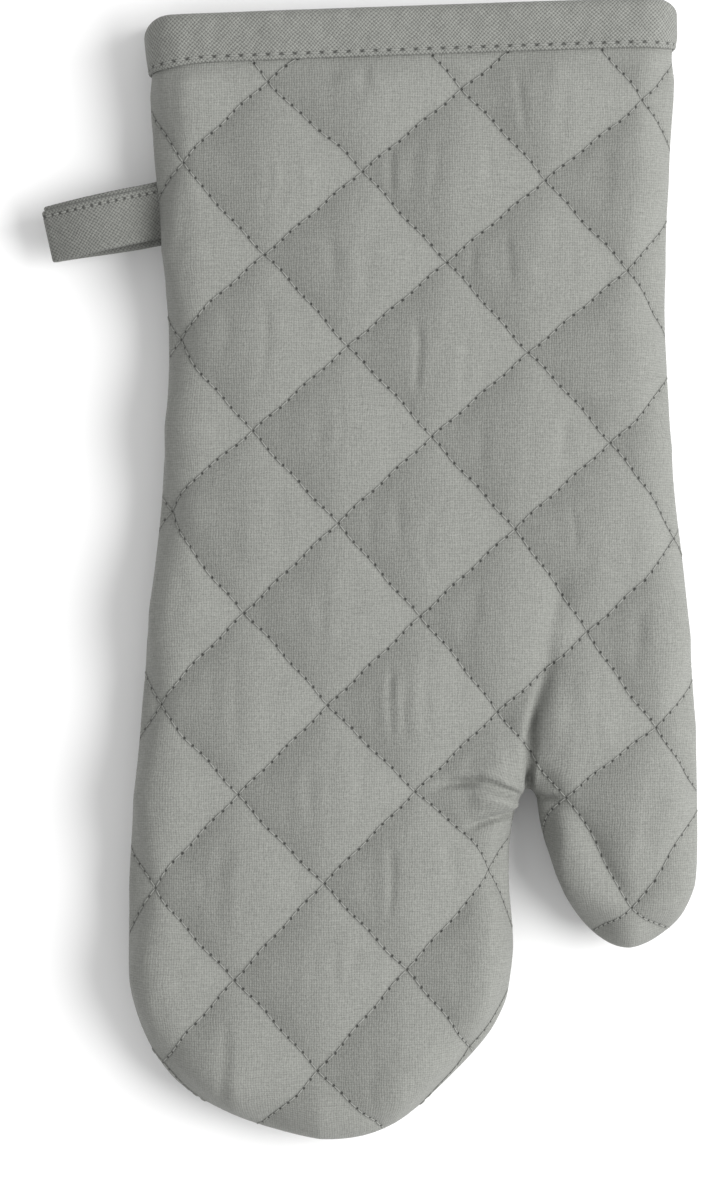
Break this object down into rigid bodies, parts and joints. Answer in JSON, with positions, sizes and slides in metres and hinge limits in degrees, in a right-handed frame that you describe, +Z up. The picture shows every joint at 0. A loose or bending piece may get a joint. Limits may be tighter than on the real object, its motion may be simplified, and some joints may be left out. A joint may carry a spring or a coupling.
{
  "type": "oven mitt",
  "caption": "Diamond-quilted fabric oven mitt with a thumb, a bound open cuff and a folded hanging loop in its side seam, lying flat palm up.",
  "frame": {"origin": "middle of the mitt's footprint, loop included, on the surface that it lies on", "axes": "+X towards the thumb's side, +Y towards the open cuff, +Z up out of the palm side"},
  "size_m": [0.1838, 0.3204, 0.026],
  "materials": {
    "quilted_cloth": "matt plain-weave cotton, diamond-quilted",
    "wadding": "soft needled wadding",
    "lining": "matt cotton lining",
    "binding_tape": "matt bias-cut cotton tape, topstitched",
    "loop_tape": "matt bias-cut cotton tape, edge-stitched",
    "thread": "matt sewing thread"
  },
  "bodies": {
    "palm": {"outer_front_palm": "quilted_cloth", "outer_back_palm": "quilted_cloth", "wadding_front_palm": "wadding", "wadding_back_palm": "wadding", "lining_front_palm": "lining", "lining_back_palm": "lining", "cuff_binding": "binding_tape", "hanging_loop_ends": "loop_tape"},
    "fingers": {"outer_front_fingers": "quilted_cloth", "outer_back_fingers": "quilted_cloth", "wadding_front_fingers": "wadding", "wadding_back_fingers": "wadding", "lining_front_fingers": "lining", "lining_back_fingers": "lining"},
    "thumb": {"outer_front_thumb": "quilted_cloth", "outer_back_thumb": "quilted_cloth", "wadding_front_thumb": "wadding", "wadding_back_thumb": "wadding", "lining_front_thumb": "lining", "lining_back_thumb": "lining"},
    "loop": {"hanging_loop": "loop_tape"}
  },
  "joints": [
    {"name": "finger_curl", "type": "hinge", "parent": "palm", "child": "fingers", "pos_m": [-0.00006, -0.08935, 0.013], "axis": [-1, 0, 0], "range_deg": [0, 45]},
    {"name": "thumb_curl", "type": "hinge", "parent": "palm", "child": "thumb", "pos_m": [0.05384, -0.07695, 0.013], "axis": [-0.829, -0.5592, 0], "range_deg": [0, 45]},
    {"name": "loop_swing", "type": "hinge", "parent": "palm", "child": "loop", "pos_m": [-0.06106, 0.10005, 0.013], "axis": [-0.2181, 0.9759, 0], "range_deg": [-20, 60]}
  ]
}
